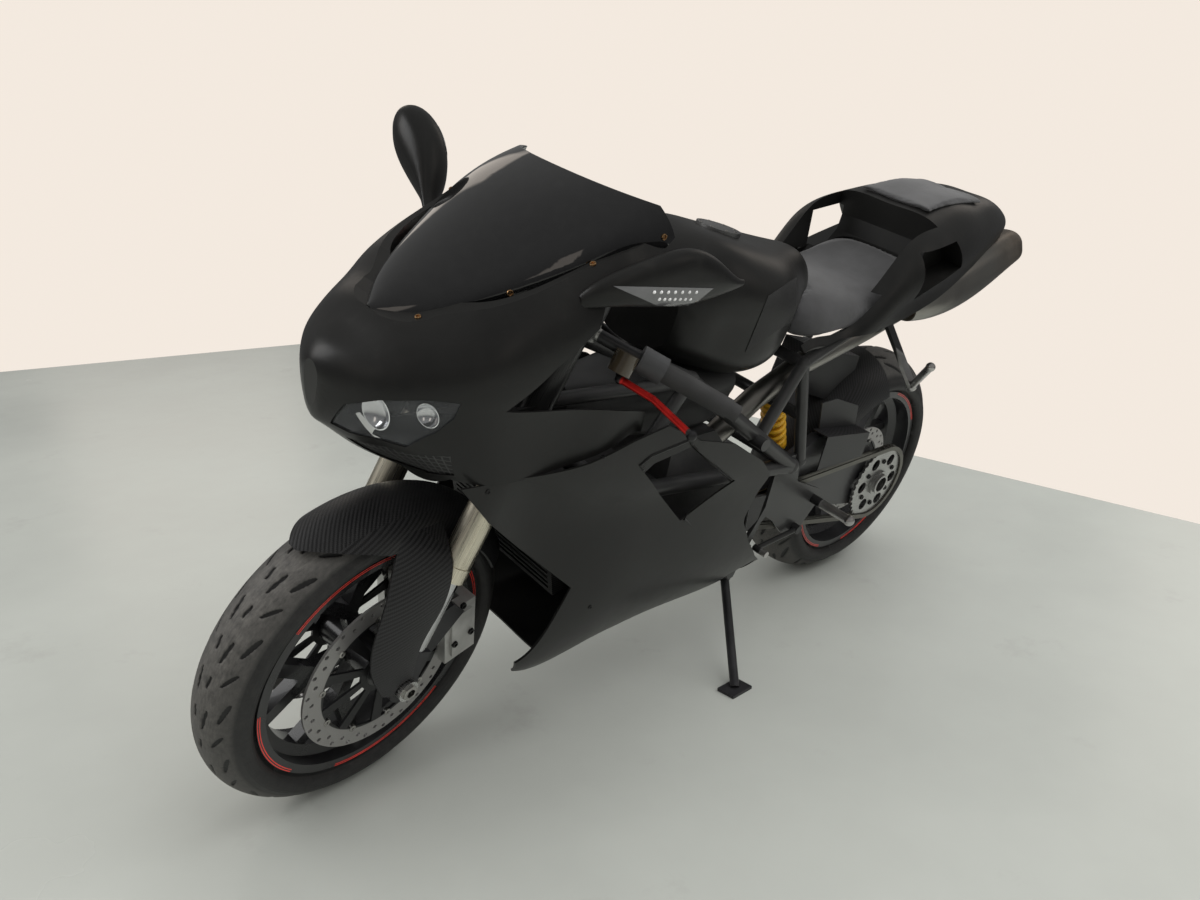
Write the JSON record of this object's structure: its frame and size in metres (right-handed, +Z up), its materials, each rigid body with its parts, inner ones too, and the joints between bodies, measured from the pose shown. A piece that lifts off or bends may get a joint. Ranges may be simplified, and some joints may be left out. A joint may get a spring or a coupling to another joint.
{
  "type": "sport bike",
  "caption": "Faired sport bike parked on its side stand, with free-turning wheels, a steering front end and a folding stand.",
  "frame": {"origin": "on the floor, under the middle of the parked machine's box", "axes": "+X ahead, +Y to the rider's left, +Z up; the machine leans to +Y on its stand"},
  "size_m": [2.105, 0.6886, 1.179],
  "materials": {
    "tyre": "worn sport tread",
    "rim": "satin black cast wheel",
    "disc": "drilled steel",
    "sprocket": "machined",
    "fork_gold": "pale champagne anodised",
    "slider": "polished stanchion",
    "black_cast": "black anodised",
    "axle": "machined",
    "clamp": "satin silver",
    "grip": "ribbed",
    "switch": "dark grey",
    "lever": "red and black anodised",
    "cup": "amber clear",
    "caliper": "silver grey",
    "carbon": "woven carbon, satin",
    "paint": "matte black",
    "lens": "clear lamp lens",
    "mesh": "fine mesh",
    "screen": "dark tint",
    "suede": "dark suede",
    "engine": "dark cast",
    "frame": "satin black tube",
    "can": "heat-toned steel",
    "cap": "grey metal",
    "red_lens": "red lamp",
    "arm": "satin black cast",
    "shock": "yellow spring",
    "chain": "oiled steel",
    "plastic": "black",
    "peg": "ribbed metal",
    "radiator": "dark fins",
    "dash": "instrument housing"
  },
  "bodies": {
    "chassis": {"nose_fairing": "paint", "headlights": "lens", "intake_mesh": "mesh", "windscreen": "screen", "lower_fairing_left": "paint", "lower_fairing_right": "paint", "engine_block": "engine", "trellis_frame": "frame", "silencers": "can", "fuel_tank": "paint", "fuel_cap": "cap", "seat": "suede", "tail_fairing": "paint", "tail_light": "red_lens", "swingarm": "arm", "rear_caliper": "caliper", "rear_shock": "shock", "drive_chain": "chain", "sprocket_cover": "plastic", "rear_hugger": "carbon", "rider_footrests": "peg", "passenger_footrests": "peg", "radiator": "radiator", "instrument_panel": "dash", "airbox": "plastic", "mirrors": "plastic"},
    "steering": {"fork_tubes": "fork_gold", "fork_sliders": "slider", "fork_feet": "black_cast", "front_axle": "axle", "triple_clamps": "black_cast", "clip_on_bars": "clamp", "grips": "grip", "switchgear": "switch", "levers": "lever", "fluid_reservoirs": "cup", "front_calipers": "caliper", "front_fender": "carbon"},
    "front_wheel": {"front_tyre": "tyre", "front_rim": "rim", "front_brake_discs": "disc"},
    "rear_wheel": {"rear_tyre": "tyre", "rear_rim": "rim", "rear_brake_disc": "disc", "rear_sprocket": "sprocket"},
    "side_stand": {"side_stand": "black_cast"}
  },
  "joints": [
    {"name": "steering_turn", "type": "hinge", "parent": "chassis", "child": "steering", "pos_m": [0.51543, 0.00406, 0.72022], "axis": [-0.4128, 0.2093, 0.8864], "range_deg": [-32, 16]},
    {"name": "front_wheel_spin", "type": "hinge", "parent": "steering", "child": "front_wheel", "pos_m": [0.75432, -0.09234, 0.29017], "axis": [-0.1272, 0.9504, -0.2837], "continuous": true},
    {"name": "rear_wheel_spin", "type": "hinge", "parent": "chassis", "child": "rear_wheel", "pos_m": [-0.6752, -0.09371, 0.30913], "axis": [-0.0005, 0.9732, -0.23], "continuous": true},
    {"name": "side_stand_fold", "type": "hinge", "parent": "chassis", "child": "side_stand", "pos_m": [-0.11547, 0.00785, 0.18118], "axis": [0.2718, 0.658, 0.7023], "range_deg": [0, 100]}
  ]
}
